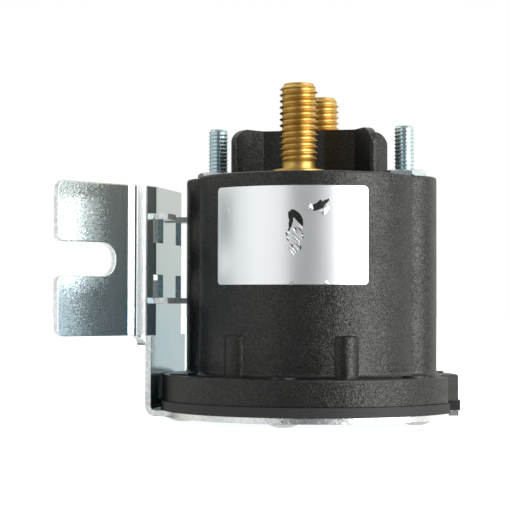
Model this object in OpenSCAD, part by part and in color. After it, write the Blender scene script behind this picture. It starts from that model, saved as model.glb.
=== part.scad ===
// Sealed contactor for the pump motor of a hydraulic power unit.
// A moulded body stands on a folded steel bracket. Two load studs and two coil studs come out
// of its top, and a solenoid inside lifts a copper disc against the heads of the load studs.
// Sizes are in millimetres. The origin is under the middle of the base, level with the rivet
// heads that it stands on. The load studs lie along Y and the bracket is on the -X side.

/* [Base sheet and bracket] */
// Thickness of the folded sheet
sheet_t = 1.2; // [1:0.1:1.4]
// Radius of the round base
base_r = 31.3; // [31:0.1:31.6]
// Distance from the axis to the inner face of the upright web
web_x = 31.1; // [30.9:0.1:31.5]
// Half width of the web under its wings
web_half_w = 13.8; // [13:0.1:14.5]
// Inside radius of the fold between base and web
fold_r = 1; // [0.6:0.1:1.4]
// Height of the lower edge of the wings
wing_bottom_z = 17.5; // [14:0.5:20]
// Height of the upper edge of the wings
wing_top_z = 48.8; // [44:0.2:50]
// Half width of the flat middle of the web between the wings
wing_start_y = 10; // [9.5:0.1:10.5]
// Width of the flat beside it, up to the first crease
shoulder_w = 3.7; // [3.4:0.1:4]
// Angle by which that flat leans away from the body
shoulder_angle = 14; // [10:1:18]
// Width of the steep face of each of the two pressed creases
crease_w = 1.4; // [1.2:0.1:1.6]
// Lean of the steep faces
crease_angle = 50; // [45:1:52]
// Width of the flat between the creases
crease_gap_w = 1.9; // [1.6:0.1:2.2]
// Lean of the flat between the creases
crease_gap_angle = 30; // [26:1:34]
// Angle by which each ear leans away from the body
ear_angle = 30.5; // [26:0.5:34]
// Length of the flat ear from the last crease to its end
ear_len = 19; // [18:0.1:22]
// Radius of the inner corner between wing and web
root_fillet_r = 2; // [1:0.1:3]
// Radius of the ear's outer corners
ear_corner_r = 2; // [1:0.1:3]
// Width of the open mounting slot in each ear
slot_w = 7; // [6.4:0.1:8]
// Depth of the mounting slot
slot_depth = 15.5; // [10:0.5:16]
// Radius of the corners at the slot's mouth
slot_mouth_r = 1.4; // [0.5:0.1:2]
// Distance from the middle of the web to the middle of each window
window_y = 7.8; // [7:0.1:8]
// Width of the windows and of the tabs folded out of them
window_w = 6.4; // [5:0.1:6.6]
// Clear height of each window
window_h = 4.9; // [4:0.1:6]
// Height half way between the upper and lower windows
window_mid_z = 33.65; // [33:0.05:34]
// Height between the folded tabs of the upper and lower windows
tab_gap = 16.5; // [15:0.1:18]
// Length by which the tabs stand out from the web
tab_len = 2.8; // [2:0.1:3]

/* [Rivets] */
// Number of rivets
rivet_count = 6; // [6]
// Radius of the circle that the rivets lie on
rivet_circle_r = 27.9; // [27.5:0.1:28]
// Radius of the rivet heads
rivet_head_r = 3.2; // [2.8:0.1:3.3]
// Height of the rivet heads
rivet_head_h = 0.8; // [0.6:0.1:1.2]
// Radius of the flat on the rivet heads
rivet_flat_r = 1.5; // [1:0.1:2]
// Radius of the rivet shanks
rivet_r = 1.5; // [1.2:0.1:1.8]
// Length of the rivet shanks inside the flange of the housing
rivet_grip = 4; // [3:0.1:4.5]

/* [Gasket] */
// Thickness of the gasket under the housing
gasket_t = 2; // [1.5:0.1:2.5]
// Radius of the gasket
gasket_r = 31.6; // [31.4:0.1:31.8]

/* [Housing] */
// Radius of the moulded body
body_r = 24.5; // [24.2:0.1:24.8]
// Height of the top of the body
body_top_z = 50.7; // [50.5:0.1:52]
// Radius of the flange
flange_r = 31.2; // [31:0.1:31.5]
// Height of the top of the flange
flange_top_z = 9.4; // [9:0.1:10]
// Distance from the axis to the flat on the flange beside the web
flange_flat_x = 30.6; // [30.2:0.1:30.7]
// Radius of the rounded edges of the moulding
edge_r = 0.6; // [0.3:0.1:1]
// Radius of the fillet between body and flange
foot_fillet_r = 1; // [0.5:0.1:1.5]
// Depth to which the body steps in beside the stud columns
groove_depth = 1.1; // [0.5:0.1:1.2]
// Half angle of the step beside the right stud column
groove_angle_right = 21.5; // [20:0.5:30]
// Half angle of the step beside the left stud column
groove_angle_left = 31.5; // [20:0.5:34]
// Distance from the axis to the middle of each stud column
column_x = 18.6; // [18.4:0.1:18.8]
// Radius of the stud columns
column_r = 8.2; // [8:0.1:8.5]
// Radius of the short ribs on the front
rib_r = 2.9; // [2:0.1:3.2]
// Distance from the axis to the middle of each short rib
rib_circle_r = 22.9; // [22.6:0.1:23.2]
// Angle of the short ribs to either side of the front
rib_angle = 28; // [24:0.2:30]
// Height of the top of the short ribs
rib_top_z = 17.8; // [14:0.2:20]
// Radius of the raised pads over the rivets
pad_r = 2.6; // [2:0.1:3]
// Height of the raised pads
pad_h = 0.35; // [0.2:0.05:0.5]
// Radius to the bottom of the notch in the flange
notch_r = 27.6; // [27.2:0.1:28.5]
// Angle of the front end of the notch
notch_from = -15.2; // [-18:0.2:-10]
// Angle of the rear end of the notch
notch_to = 6; // [2:0.5:12]
// Radius of the lower cavity, round the coil
cavity_r = 22.2; // [22.1:0.1:22.3]
// Radius of the contact chamber
chamber_r = 21.7; // [21.6:0.1:21.8]
// Height of the ledge between cavity and chamber
ledge_z = 33; // [32.8:0.1:33.2]
// Height of the ceiling of the contact chamber
ceiling_z = 46.2; // [46:0.1:46.5]

/* [Barrier on the top] */
// Height of the top of the barrier
barrier_top_z = 60.9; // [56:0.1:62]
// Thickness of the middle wall
barrier_t = 3.6; // [3:0.1:4]
// Half length of the middle wall
barrier_half_len = 10.4; // [9:0.1:11]
// Thickness of the four slanted wings
barrier_wing_t = 1.6; // [1.4:0.1:2]
// Length of the slanted wings
barrier_wing_len = 10.1; // [8:0.1:11]
// Angle between the slanted wings and the middle wall
barrier_wing_angle = 57.5; // [45:0.5:65]
// Radius of the upper outer corner of the slanted wings
barrier_corner_r = 4.2; // [3:0.1:5]
// Radius of the hollow round each load stud in the middle wall
barrier_hollow_r = 11.4; // [11.2:0.1:11.6]

/* [Load studs] */
// Distance from the axis to each load stud
load_stud_y = 12.7; // [12.5:0.1:13]
// Outside radius of the M8 thread
load_stud_r = 3.95; // [3.9:0.01:4]
// Radius of the plain neck under the thread
load_neck_r = 3.4; // [3.3:0.1:3.6]
// Height of the neck above the top of the body
load_neck_h = 2.5; // [2:0.1:3]
// Height of the top of the load studs
load_stud_top_z = 69.4; // [66:0.2:72]
// Height of the chamfer at the tip
load_chamfer_h = 1.1; // [0.8:0.1:1.4]
// Radius of the flat at the tip
load_tip_r = 2.4; // [2:0.1:3]
// Radius of the thin flange on top of the body
load_flange_r = 5.5; // [5:0.1:6]
// Thickness of the thin flange
load_flange_t = 0.9; // [0.6:0.1:1.2]
// Radius of the barrel moulded into the top
load_barrel_r = 4.5; // [4.3:0.1:4.8]
// Radius of the contact head in the chamber
load_head_r = 6; // [5.5:0.1:6.4]

/* [Coil studs] */
// Distance from the axis to each coil stud
coil_stud_x = 20.1; // [20:0.1:20.3]
// Outside radius of the coil stud thread
coil_stud_r = 2.1; // [2:0.05:2.2]
// Radius of the coil stud inside the wall and the nut
coil_shank_r = 1.9; // [1.7:0.05:1.9]
// Height of the top of the coil studs
coil_stud_top_z = 61.6; // [58:0.2:64]
// Height of the chamfer at the tip
coil_chamfer_h = 0.8; // [0.5:0.1:1]
// Radius of the foot inside the chamber
coil_foot_r = 3.4; // [3:0.1:3.5]
// Thickness of the foot
coil_foot_t = 3; // [2.5:0.1:3.1]
// Radius of the tail that the coil lead is clenched on
tail_r = 1.5; // [1.2:0.1:1.8]
// Play round the foot in its pocket
foot_play = 0.4; // [0.3:0.1:0.4]
// Width of the nuts across their flats
nut_af = 7.9; // [7:0.1:8.2]
// Height of the nuts
nut_h = 1.5; // [1.2:0.1:2.5]

/* [Label] */
// Thickness of the foil label
label_t = 0.12; // [0.1:0.01:0.2]
// Height of the lower edge of the label
label_bottom_z = 28; // [20:0.5:30]
// Height of the upper edge of the label
label_top_z = 47.7; // [44:0.1:49]
// Half of the angle that the label covers
label_half_angle = 38.8; // [30:0.2:44]

/* [Solenoid] */
// Outside radius of the steel coil case
case_r = 20.2; // [20:0.1:20.3]
// Wall of the coil case
case_wall = 1.3; // [1.2:0.1:1.5]
// Thickness of the top of the coil case
case_top_t = 2; // [1.8:0.1:2.2]
// Thickness of the flux washer
flux_washer_t = 1.6; // [1.4:0.1:2]
// Radius of the hole through the bobbin
bobbin_bore_r = 7.3; // [7.2:0.1:7.4]
// Wall of the bobbin tube and of its flanges
bobbin_wall = 1.1; // [1:0.1:1.3]
// Play between the bobbin's flanges and the case
bobbin_play = 0.3; // [0.2:0.1:0.4]
// Radius of the winding
winding_r = 17.2; // [16:0.1:17.6]
// Inside radius of the plunger guide
guide_bore_r = 6.6; // [6.58:0.01:6.62]
// Wall of the plunger guide
guide_wall = 0.5; // [0.4:0.1:0.6]
// Height of the top of the plunger guide
guide_top_z = 22; // [20:0.5:26]
// Radius of the fixed core
core_r = 6.55; // [6.5:0.01:6.56]
// Height of the pole face of the fixed core
core_face_z = 18.8; // [18.7:0.1:19]
// Radius of the core's spigot in the top of the case
spigot_r = 3.5; // [3.2:0.1:4]
// Radius of the hole through the core
core_bore_r = 2.1; // [2:0.05:2.2]
// Thickness of the divider between coil and contact chamber
divider_t = 1.2; // [1:0.1:1.3]
// Radius of the hole through the divider
divider_bore_r = 4; // [3.5:0.1:5]
// Thickness of the rubber bumper under the plunger
bumper_t = 1.15; // [1:0.05:1.15]
// Radius of the bumper
bumper_r = 6.3; // [5.5:0.1:6.4]

/* [Moving contact] */
// Travel of the plunger
stroke = 2.8; // [2.6:0.1:2.8]
// Gap between the disc and the stud heads when the coil is off
contact_gap = 2; // [1.8:0.1:2]
// Radius of the plunger
plunger_r = 6.52; // [6.5:0.01:6.54]
// Height of the bottom of the plunger when the coil is off
plunger_bottom_z = 3.2; // [3.2:0.1:3.4]
// Radius of the spring pocket in the plunger
pocket_r = 3.4; // [3.2:0.1:4]
// Depth of the spring pocket
pocket_depth = 4; // [3:0.1:5]
// Depth of the rod's socket under the pocket
socket_depth = 4; // [3:0.1:5]
// Radius of the rod where it passes the core
rod_r = 1.8; // [1.7:0.1:1.9]
// Radius of the rod's stem above its shoulder
stem_r = 1.4; // [1.3:0.1:1.5]
// Height of the rod's shoulder
shoulder_z = 33.9; // [33.8:0.1:34]
// Height of the top of the rod
rod_top_z = 42.4; // [42.2:0.1:42.8]
// Radius of the contact disc
disc_r = 16.5; // [15:0.5:17]
// Thickness of the contact disc
disc_t = 1.8; // [1.5:0.1:2]
// Height of the top of the contact disc when the coil is off
disc_top_z = 40.4; // [40.2:0.1:40.4]
// Radius of the insulating bush inside the disc
bush_hub_r = 3.6; // [3.2:0.1:4]
// Radius of the bush's flange and of the washer above the disc
bush_flange_r = 5.6; // [5:0.1:5.8]
// Thickness of the bush's flange and of the washer
bush_flange_t = 0.8; // [0.7:0.1:0.9]
// Thickness of the clip on the rod
clip_t = 0.6; // [0.5:0.1:0.6]
// Outside radius of the clip
clip_r = 2.8; // [2.4:0.1:3.2]
// Radius of the rod in the groove for the clip
groove_r = 1.1; // [0.9:0.1:1.2]
// Thickness of the spring seat
seat_t = 0.8; // [0.6:0.1:0.9]
// Radius of the spring seat
seat_r = 5.4; // [5:0.1:5.6]

/* [Springs and leads] */
// Radius of the spring wire
wire_r = 0.35; // [0.3:0.05:0.4]
// Turns of the return spring
return_turns = 4; // [3:1:4]
// Turns of the contact spring
contact_turns = 2; // [2]
// Mean radius of the contact spring
contact_coil_r = 3.8; // [3.5:0.1:4]
// Thickness of the coil leads
lead_t = 0.5; // [0.4:0.1:0.5]
// Width of the coil leads
lead_w = 3; // [2:0.1:3]
// Height at which the leads leave the winding
lead_tail_z = 26.6; // [24:0.1:27]
// Play round the leads where they leave the case
lead_slot_play = 1; // [0.6:0.1:1]

/* [Hidden] */

// Smoothness of large, middle and small round forms
fn_large = 96;
fn_mid = 48;
fn_small = 24;
// Overlap that lets a cut pass a face
cut = 0.1;
// Play between parts that slide in each other
fit = 0.05;
// Play round the divider in its cavity
seat_play = 0.1;
// Play between faces that come together at the ends of the travel
touch = 0.02;
// Share of a rounded corner that its cut covers, so that the arc crosses the edges
corner_share = 0.9;
// Depth by which a flat is set into the curve before it, so that the two cross
blend = 0.005;
// Sides of the spring wire, and rings of points in one turn of it
wire_sides = 6;
turn_rings = 14;

// Heights of the stacked base
sheet_z = rivet_head_h;
gasket_z = sheet_z + sheet_t;
flange_z = gasket_z + gasket_t;
rivet_angles = [for (i = [0 : rivet_count - 1]) -90 + i * 360 / rivet_count];

// Heights inside the housing
divider_z = ledge_z - divider_t;
case_ceiling_z = divider_z - case_top_t;
bobbin_z = gasket_z + flux_washer_t;
bobbin_tube_r = bobbin_bore_r + bobbin_wall;
bobbin_flange_r = case_r - case_wall - bobbin_play;
plunger_top_z = core_face_z - stroke - touch;
pocket_z = plunger_top_z - pocket_depth;
rod_bottom_z = pocket_z - socket_depth;
seat_top_z = shoulder_z + seat_t;
disc_z = disc_top_z - disc_t;
bush_z = disc_z - bush_flange_t;
washer_top_z = disc_top_z + bush_flange_t;
clip_z = washer_top_z + touch;
head_z = disc_top_z + contact_gap + touch;
return_coil_r = (core_bore_r + pocket_r) / 2;

// Places of the leads, which run between the case and the wall of the chamber
foot_z = ceiling_z - coil_foot_t;
tail_z = foot_z - lead_t;
foot_pocket_z = tail_z - foot_play;
nut_top_z = body_top_z + nut_h;
lead_x = (case_r + chamber_r - lead_t) / 2;
lead_slot_w = lead_w + 2 * lead_slot_play;
lead_slot_h = lead_t + 2 * lead_slot_play;

// Places on the bracket
wing_mid_z = (wing_bottom_z + wing_top_z) / 2;
// Flats of a wing from the middle of the web outwards, as width and lean
wing_flats = [
    [wing_start_y, 0],
    [shoulder_w, shoulder_angle],
    [crease_w, crease_angle],
    [crease_gap_w, crease_gap_angle],
    [crease_w, crease_angle],
    [ear_len, ear_angle],
];
last_flat = len(wing_flats) - 1;

// Angle of the middle of the front
front = -90;

// Area outside a rounded corner of radius r whose tip is at the origin
module corner_waste(r) {
    side = corner_share * r;
    difference() {
        translate([-side, -side])
            square(side + cut);
        translate([-r, -r])
            circle(r, $fn = fn_small);
    }
}

// Solid turned about Z, with a rounded upper edge
module round_topped(r, z0, z1, edge) {
    translate([0, 0, z0])
        rotate_extrude($fn = fn_large)
            union() {
                square([r, z1 - z0 - edge]);
                square([r - edge, z1 - z0]);
                translate([r - edge, z1 - z0 - edge])
                    intersection() {
                        circle(edge, $fn = fn_small);
                        square(edge);
                    }
            }
}

// Tube about Z
module tube(r_out, r_in, z0, z1, fn = fn_large) {
    translate([0, 0, z0])
        difference() {
            cylinder(h = z1 - z0, r = r_out, $fn = fn);
            translate([0, 0, -cut])
                cylinder(h = z1 - z0 + 2 * cut, r = r_in, $fn = fn);
        }
}

// Wedge about Z between two angles at most 90 degrees apart, as tall as the body
module wedge(from, to, reach) {
    intersection() {
        rotate(from)
            cube([reach, reach, body_top_z]);
        rotate(to)
            translate([0, -reach, 0])
                cube([reach, reach, body_top_z]);
    }
}

// Notch through flange, gasket and base on the +X side
module notch() {
    difference() {
        wedge(notch_from, notch_to, 2 * base_r);
        translate([0, 0, -cut])
            cylinder(h = body_top_z + 2 * cut, r = notch_r, $fn = fn_large);
    }
}

// Places a child at every rivet
module at_rivets() {
    for (angle = rivet_angles)
        rotate(angle)
            translate([rivet_circle_r, 0, 0])
                children();
}

// Flat base of the bracket, from the notch to the start of the fold
module bracket_base() {
    fold_x = web_x - fold_r;
    translate([0, 0, sheet_z])
        linear_extrude(height = sheet_t)
            difference() {
                union() {
                    intersection() {
                        circle(base_r, $fn = fn_large);
                        translate([-fold_x, -base_r])
                            square(2 * base_r);
                    }
                    translate([-fold_x, -web_half_w])
                        square([fold_x, 2 * web_half_w]);
                }
                for (angle = rivet_angles)
                    rotate(angle)
                        translate([rivet_circle_r, 0])
                            circle(rivet_r, $fn = fn_small);
            }
}

// Quarter round of sheet along Y, turning up from the base into the web
module bracket_fold() {
    translate([-web_x + fold_r, web_half_w, gasket_z + fold_r])
        rotate([90, 0, 0])
            linear_extrude(height = 2 * web_half_w)
                intersection() {
                    difference() {
                        circle(fold_r + sheet_t, $fn = fn_mid);
                        circle(fold_r, $fn = fn_mid);
                    }
                    translate([-2 * (fold_r + sheet_t), -2 * (fold_r + sheet_t)])
                        square(2 * (fold_r + sheet_t));
                }
}

// Places children at the lower pair of windows, and turned over at the upper pair
module at_windows() {
    translate([-web_x, 0, window_mid_z])
        for (turn = [0, 180], side = [-1, 1])
            rotate([turn, 0, 0])
                translate([0, side * window_y, -tab_gap / 2 - sheet_t])
                    children();
}

// Opening that a tab leaves in the web
module window() {
    translate([-2 * sheet_t, -window_w / 2, 0])
        cube([2 * sheet_t + cut, window_w, window_h + sheet_t]);
}

// Tab folded out of its window towards the body
module tab() {
    translate([0, window_w / 2, 0])
        rotate([90, 0, 0])
            linear_extrude(height = window_w) {
                square([tab_len, sheet_t]);
                intersection() {
                    circle(sheet_t, $fn = fn_small);
                    translate([-sheet_t, 0])
                        square(sheet_t);
                }
            }
}

// Point of the face where a flat of the wing ends
function face_point(n) =
    n < 0 ? [-web_x, 0]
          : face_point(n - 1) + wing_flats[n][0] * [-sin(wing_flats[n][1]), cos(wing_flats[n][1])];

// Point of the sheet's back at the same fold
function back_point(n) =
    let (before = wing_flats[n][1])
        let (after = wing_flats[min(n + 1, last_flat)][1])
            face_point(n)
                - sheet_t / cos((after - before) / 2)
                    * [cos((before + after) / 2), sin((before + after) / 2)];

// Web, creases and ears between two heights, all in one plan
module upright_sheet(z0, z1) {
    half = concat(
        [for (n = [0 : last_flat]) face_point(n)],
        [for (n = [last_flat : -1 : 0]) back_point(n)]
    );
    mirrored = [for (n = [len(half) - 1 : -1 : 0]) [half[n][0], -half[n][1]]];
    translate([0, 0, z0])
        linear_extrude(height = z1 - z0)
            polygon(concat(half, mirrored));
}

// What is cut from the end of an ear: x runs outwards along the sheet and y is the height
module ear_waste() {
    translate([0, wing_top_z])
        corner_waste(ear_corner_r);
    translate([0, wing_bottom_z])
        mirror([0, 1])
            corner_waste(ear_corner_r);
    translate([slot_w / 2 - slot_depth, wing_mid_z - slot_w / 2])
        square([slot_depth, slot_w]);
    translate([slot_w / 2 - slot_depth, wing_mid_z])
        circle(slot_w / 2, $fn = fn_mid);
    for (side = [0, 1])
        translate([0, wing_mid_z])
            mirror([0, side])
                translate([0, -slot_w / 2])
                    corner_waste(slot_mouth_r);
}

// Cuts for slot and corners, turned to the +Y ear
module ear_cuts() {
    translate(concat(face_point(last_flat), 0))
        rotate(ear_angle)
            translate([cut, 0, 0])
                rotate([90, 0, -90])
                    mirror([1, 0, 0])
                        linear_extrude(height = sheet_t + 2 * cut)
                            ear_waste();
}

// Rounded inner corner where the lower edge of a wing meets the edge of the web
module wing_root() {
    z = wing_bottom_z - root_fillet_r;
    difference() {
        intersection() {
            upright_sheet(z, wing_bottom_z + cut);
            translate([-2 * web_x, web_half_w - root_fillet_r, z])
                cube([2 * web_x, 2 * root_fillet_r, 2 * root_fillet_r]);
        }
        translate([-2 * web_x, web_half_w + root_fillet_r, z])
            rotate([0, 90, 0])
                cylinder(h = 2 * web_x, r = root_fillet_r, $fn = fn_mid);
    }
}

// Flat part of the web under the wings
module lower_web() {
    z = gasket_z + fold_r;
    translate([-web_x - sheet_t, -web_half_w, z])
        cube([sheet_t, 2 * web_half_w, wing_bottom_z - z]);
}

// One folded and pierced sheet of zinc plated steel
module mounting_bracket() {
    color("#c3c9ce")
        union() {
            difference() {
                bracket_base();
                notch();
            }
            bracket_fold();
            lower_web();
            difference() {
                upright_sheet(wing_bottom_z, wing_top_z);
                at_windows()
                    window();
                for (side = [0, 1])
                    mirror([0, side, 0])
                        ear_cuts();
            }
            at_windows()
                tab();
            for (side = [0, 1])
                mirror([0, side, 0])
                    wing_root();
        }
}

// Rivets driven up through the base and the gasket into the flange
module base_rivets() {
    dome_z = (rivet_head_r ^ 2 - rivet_flat_r ^ 2 + rivet_head_h ^ 2) / (2 * rivet_head_h);
    dome_r = sqrt(dome_z ^ 2 + rivet_flat_r ^ 2);
    color("#b9bfc4")
        at_rivets()
            union() {
                intersection() {
                    cylinder(h = rivet_head_h, r = rivet_head_r, $fn = fn_mid);
                    translate([0, 0, dome_z])
                        sphere(dome_r, $fn = fn_large);
                }
                translate([0, 0, rivet_head_h])
                    cylinder(h = flange_z + rivet_grip - rivet_head_h, r = rivet_r, $fn = fn_small);
            }
}

// Rubber ring that seals the housing to the base, seen as a lip round the flange
module base_gasket() {
    color("#262727")
        difference() {
            translate([0, 0, gasket_z])
                linear_extrude(height = gasket_t)
                    difference() {
                        intersection() {
                            circle(gasket_r, $fn = fn_large);
                            translate([fold_r - web_x, -gasket_r])
                                square(2 * gasket_r);
                        }
                        circle(cavity_r, $fn = fn_large);
                        for (angle = rivet_angles)
                            rotate(angle)
                                translate([rivet_circle_r, 0])
                                    circle(rivet_r, $fn = fn_small);
                    }
            notch();
        }
}

// Flange with its flat beside the web, its notch and its raised pads
module housing_flange() {
    difference() {
        round_topped(flange_r, flange_z, flange_top_z, edge_r / 2);
        translate([-flange_flat_x - 2 * flange_r, -flange_r, flange_z - cut])
            cube([2 * flange_r, 2 * flange_r, flange_top_z]);
        notch();
    }
    at_rivets()
        translate([0, 0, flange_top_z - cut])
            cylinder(h = pad_h + cut, r = pad_r, $fn = fn_small);
}

// Round post with a fillet where it meets the top of the flange
module filleted_post(r) {
    round_topped(r, flange_z, body_top_z, edge_r);
    translate([0, 0, flange_top_z])
        rotate_extrude($fn = fn_large)
            translate([r, 0])
                difference() {
                    translate([-cut, -cut])
                        square(foot_fillet_r + cut);
                    translate([foot_fillet_r, foot_fillet_r])
                        circle(foot_fillet_r, $fn = fn_mid);
                }
}

// Round body, stepped in on both sides of the two stud columns
module housing_body() {
    inner_r = body_r - groove_depth;
    difference() {
        filleted_post(body_r);
        for (side = [[0, groove_angle_right], [180, groove_angle_left]])
            difference() {
                rotate(side[0])
                    translate([0, 0, flange_top_z])
                        wedge(-side[1], side[1], 2 * body_r);
                cylinder(h = 2 * body_top_z, r = inner_r, $fn = fn_large);
            }
    }
    for (side = [-1, 1])
        translate([side * column_x, 0, 0])
            filleted_post(column_r);
}

// Short ribs that rise from the flange on the front of the body
module housing_ribs() {
    for (side = [-1, 1])
        rotate(front + side * rib_angle)
            translate([rib_circle_r, 0, 0])
                round_topped(rib_r, (flange_z + flange_top_z) / 2, rib_top_z, edge_r);
}

// Places children along each slanted wing of the barrier: x runs outwards
module at_barrier_wings() {
    for (end = [0, 180], lean = [-barrier_wing_angle, barrier_wing_angle])
        rotate(end)
            translate([barrier_half_len - barrier_wing_t / 2, 0])
                rotate(lean)
                    children();
}

// Barrier that keeps the cables on the two load studs apart
module housing_barrier() {
    h = barrier_top_z - body_top_z;
    difference() {
        translate([0, 0, body_top_z - cut])
            linear_extrude(height = h + cut) {
                square([2 * barrier_half_len, barrier_t], center = true);
                at_barrier_wings() {
                    translate([0, -barrier_wing_t / 2])
                        square([barrier_wing_len - barrier_wing_t / 2, barrier_wing_t]);
                    translate([barrier_wing_len - barrier_wing_t / 2, 0])
                        circle(barrier_wing_t / 2 - blend, $fn = fn_small);
                }
            }
        for (side = [-1, 1])
            translate([0, side * load_stud_y, body_top_z - 2 * cut])
                cylinder(h = h + 3 * cut, r = barrier_hollow_r, $fn = fn_large);
        at_barrier_wings()
            translate([barrier_wing_len, barrier_wing_t, barrier_top_z])
                rotate([90, 0, 0])
                    linear_extrude(height = 2 * barrier_wing_t)
                        corner_waste(barrier_corner_r);
    }
}

// Everything that is taken out of the moulding
module housing_hollows() {
    translate([0, 0, flange_z - cut])
        cylinder(h = ledge_z - flange_z + cut, r = cavity_r, $fn = fn_large);
    translate([0, 0, flange_z])
        cylinder(h = ceiling_z - flange_z, r = chamber_r, $fn = fn_large);
    for (side = [-1, 1]) {
        translate([0, side * load_stud_y, flange_z])
            cylinder(h = body_top_z, r = load_barrel_r, $fn = fn_mid);
        translate([side * coil_stud_x, 0, 0]) {
            translate([0, 0, foot_pocket_z])
                cylinder(h = ceiling_z - foot_pocket_z, r = coil_foot_r + foot_play, $fn = fn_mid);
            translate([0, 0, ceiling_z - cut])
                cylinder(h = body_top_z, r = coil_shank_r, $fn = fn_mid);
        }
    }
    at_rivets()
        translate([0, 0, flange_z - cut])
            cylinder(h = rivet_grip + cut, r = rivet_r, $fn = fn_small);
}

// One moulding: flange, body, stud columns, ribs and barrier
module housing() {
    color("#2e2f2e")
        difference() {
            union() {
                housing_flange();
                housing_body();
                housing_ribs();
                housing_barrier();
            }
            housing_hollows();
        }
}

// Brass stud moulded into the top; its head is the fixed contact
module load_stud() {
    color("#c99a3c")
        union() {
            translate([0, 0, head_z])
                cylinder(h = ceiling_z - head_z, r = load_head_r, $fn = fn_mid);
            translate([0, 0, ceiling_z])
                cylinder(h = body_top_z - ceiling_z, r = load_barrel_r, $fn = fn_mid);
            translate([0, 0, body_top_z])
                cylinder(h = load_flange_t, r = load_flange_r, $fn = fn_mid);
            translate([0, 0, body_top_z])
                cylinder(h = load_neck_h, r = load_neck_r, $fn = fn_mid);
            translate([0, 0, body_top_z + load_neck_h])
                cylinder(h = load_stud_top_z - load_chamfer_h - body_top_z - load_neck_h,
                         r = load_stud_r, $fn = fn_mid);
            translate([0, 0, load_stud_top_z - load_chamfer_h])
                cylinder(h = load_chamfer_h, r1 = load_stud_r, r2 = load_tip_r, $fn = fn_mid);
        }
}

module load_stud_front() {
    translate([0, -load_stud_y, 0])
        load_stud();
}

module load_stud_rear() {
    translate([0, load_stud_y, 0])
        load_stud();
}

// Zinc plated stud for one end of the coil, with its foot in the chamber
module coil_stud() {
    color("#9fb0ba")
        union() {
            translate([0, 0, foot_z])
                cylinder(h = coil_foot_t, r = coil_foot_r, $fn = fn_mid);
            translate([0, 0, tail_z])
                cylinder(h = foot_z - tail_z, r = tail_r, $fn = fn_small);
            translate([0, 0, ceiling_z])
                cylinder(h = nut_top_z - ceiling_z, r = coil_shank_r, $fn = fn_mid);
            translate([0, 0, nut_top_z])
                cylinder(h = coil_stud_top_z - coil_chamfer_h - nut_top_z, r = coil_stud_r,
                         $fn = fn_mid);
            translate([0, 0, coil_stud_top_z - coil_chamfer_h])
                cylinder(h = coil_chamfer_h, r1 = coil_stud_r, r2 = coil_stud_r - coil_chamfer_h,
                         $fn = fn_mid);
        }
}

module coil_stud_left() {
    translate([-coil_stud_x, 0, 0])
        coil_stud();
}

module coil_stud_right() {
    translate([coil_stud_x, 0, 0])
        coil_stud();
}

// Thin hexagon nuts that draw the coil studs up against the ceiling
module coil_stud_nuts() {
    color("#b4c0c6")
        for (side = [-1, 1])
            translate([side * coil_stud_x, 0, body_top_z])
                difference() {
                    cylinder(h = nut_h, r = nut_af / 2 / cos(30), $fn = 6);
                    translate([0, 0, -cut])
                        cylinder(h = nut_h + 2 * cut, r = coil_shank_r, $fn = fn_mid);
                }
}

// Foil label wrapped round the front of the body
module label() {
    color("#d9dcdd")
        intersection() {
            tube(body_r + label_t, body_r, label_bottom_z, label_top_z);
            wedge(front - label_half_angle, front + label_half_angle, 2 * body_r);
        }
}

// Steel cup round the coil, open towards the base
module coil_case() {
    color("#8c9296")
        difference() {
            translate([0, 0, gasket_z])
                cylinder(h = divider_z - gasket_z, r = case_r, $fn = fn_large);
            translate([0, 0, gasket_z - cut])
                cylinder(h = case_ceiling_z - gasket_z + cut, r = case_r - case_wall, $fn = fn_large);
            cylinder(h = body_top_z, r = spigot_r, $fn = fn_mid);
            for (side = [-1, 1])
                translate([side * case_r, 0, lead_tail_z + lead_t / 2])
                    cube([2 * (case_wall + lead_t), lead_slot_w, lead_slot_h], center = true);
        }
}

// Thick washer that leads the field from the case to the plunger
module flux_washer() {
    color("#7f868a")
        tube(case_r - case_wall - fit, bobbin_bore_r, gasket_z, bobbin_z);
}

// Spool that the coil is wound on
module bobbin() {
    color("#e4e0d2")
        union() {
            tube(bobbin_tube_r, bobbin_bore_r, bobbin_z, case_ceiling_z);
            tube(bobbin_flange_r, bobbin_bore_r, bobbin_z, bobbin_z + bobbin_wall);
            tube(bobbin_flange_r, bobbin_bore_r, case_ceiling_z - bobbin_wall, case_ceiling_z);
        }
}

// The turns of enamelled wire as one solid
module coil_winding() {
    color("#a4552a")
        tube(winding_r, bobbin_tube_r, bobbin_z + bobbin_wall, case_ceiling_z - bobbin_wall);
}

// Strip from the winding up to the foot of the stud on the +X side
module coil_lead() {
    color("#b87333")
        difference() {
            union() {
                translate([winding_r, -lead_w / 2, lead_tail_z])
                    cube([lead_x + lead_t - winding_r, lead_w, lead_t]);
                translate([lead_x, -lead_w / 2, lead_tail_z])
                    cube([lead_t, lead_w, tail_z + lead_t / 2 - lead_tail_z]);
                translate([coil_stud_x, 0, tail_z])
                    cylinder(h = lead_t, r = coil_foot_r, $fn = fn_mid);
            }
            translate([coil_stud_x, 0, tail_z])
                cylinder(h = lead_t + cut, r = tail_r, $fn = fn_small);
        }
}

module coil_lead_left() {
    mirror([1, 0, 0])
        coil_lead();
}

module coil_lead_right() {
    coil_lead();
}

// Thin brass tube that the plunger slides in
module plunger_guide() {
    color("#c9b06a")
        tube(guide_bore_r + guide_wall, guide_bore_r, gasket_z, guide_top_z);
}

// Rubber washer that the plunger lands on
module plunger_bumper() {
    color("#333333")
        tube(bumper_r, core_bore_r, gasket_z, gasket_z + bumper_t);
}

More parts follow.
